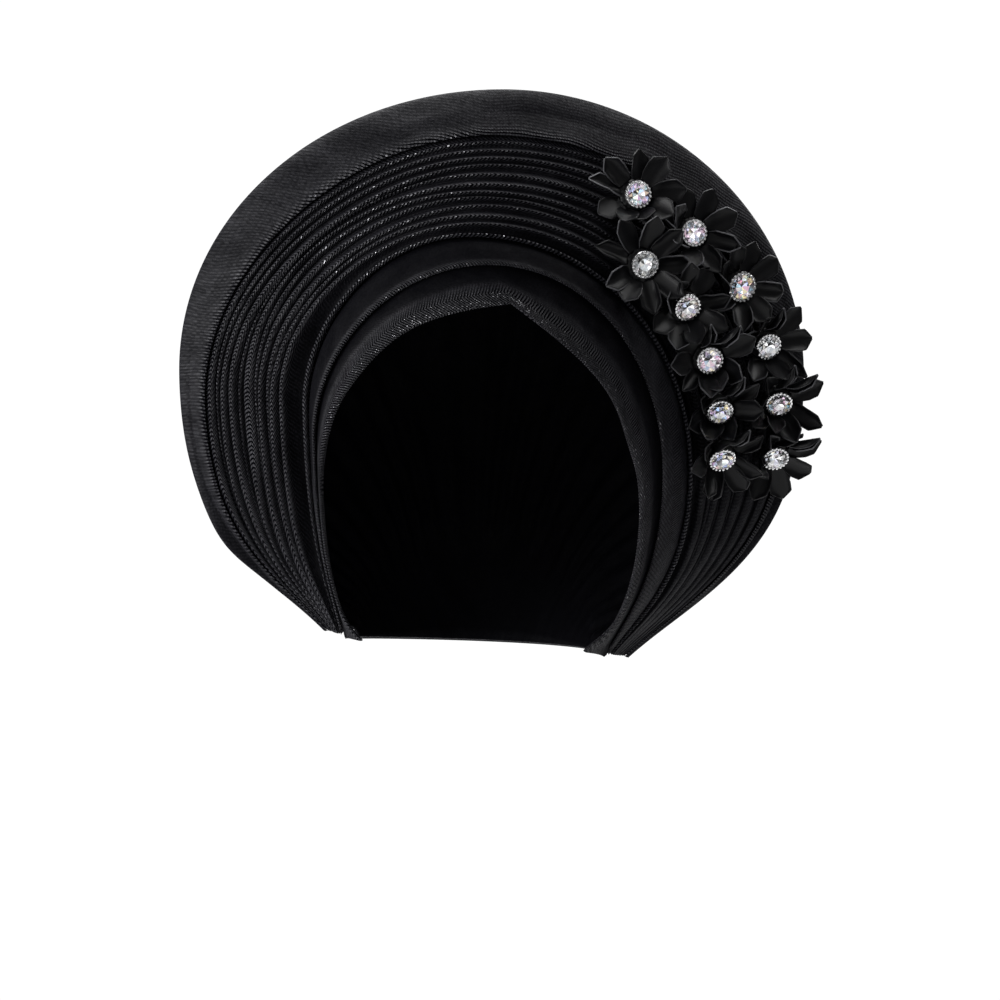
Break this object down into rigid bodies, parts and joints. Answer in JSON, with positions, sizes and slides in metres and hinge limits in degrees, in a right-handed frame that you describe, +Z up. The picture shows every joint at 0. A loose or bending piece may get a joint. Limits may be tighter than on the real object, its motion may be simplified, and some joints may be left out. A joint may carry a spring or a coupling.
{
  "type": "tied gele head tie",
  "caption": "Head tie of stiff woven cloth folded into a pleated fan with a plain halo round an open face, trimmed on one side with satin ribbon flowers that hold cut stones.",
  "frame": {"origin": "middle of the head hollow, level with the wearer's eyes, where a head seats the part", "axes": "+Z up, the face opening looks along -Y, +X to the side that carries the flowers"},
  "size_m": [0.2806, 0.1895, 0.248],
  "materials": {
    "gele_cloth": "black herringbone weave with a fine glitter thread on the ridges",
    "petal_satin": "black satin ribbon with heat-sealed edges",
    "crystal": "cut crystal with a faint iridescent coating in a bright ring of small stones"
  },
  "bodies": {
    "root": {"forehead_band": "gele_cloth", "inner_fold": "gele_cloth", "pleated_fan": "gele_cloth", "halo": "gele_cloth", "back_crown": "gele_cloth", "nape_band": "gele_cloth", "flower_01": "petal_satin", "flower_02": "petal_satin", "flower_03": "petal_satin", "flower_04": "petal_satin", "flower_05": "petal_satin", "flower_06": "petal_satin", "flower_07": "petal_satin", "flower_08": "petal_satin", "flower_09": "petal_satin", "flower_10": "petal_satin", "flower_11": "petal_satin", "stone_01": "crystal", "stone_02": "crystal", "stone_03": "crystal", "stone_04": "crystal", "stone_05": "crystal", "stone_06": "crystal", "stone_07": "crystal", "stone_08": "crystal", "stone_09": "crystal", "stone_10": "crystal", "stone_11": "crystal"}
  },
  "joints": []
}
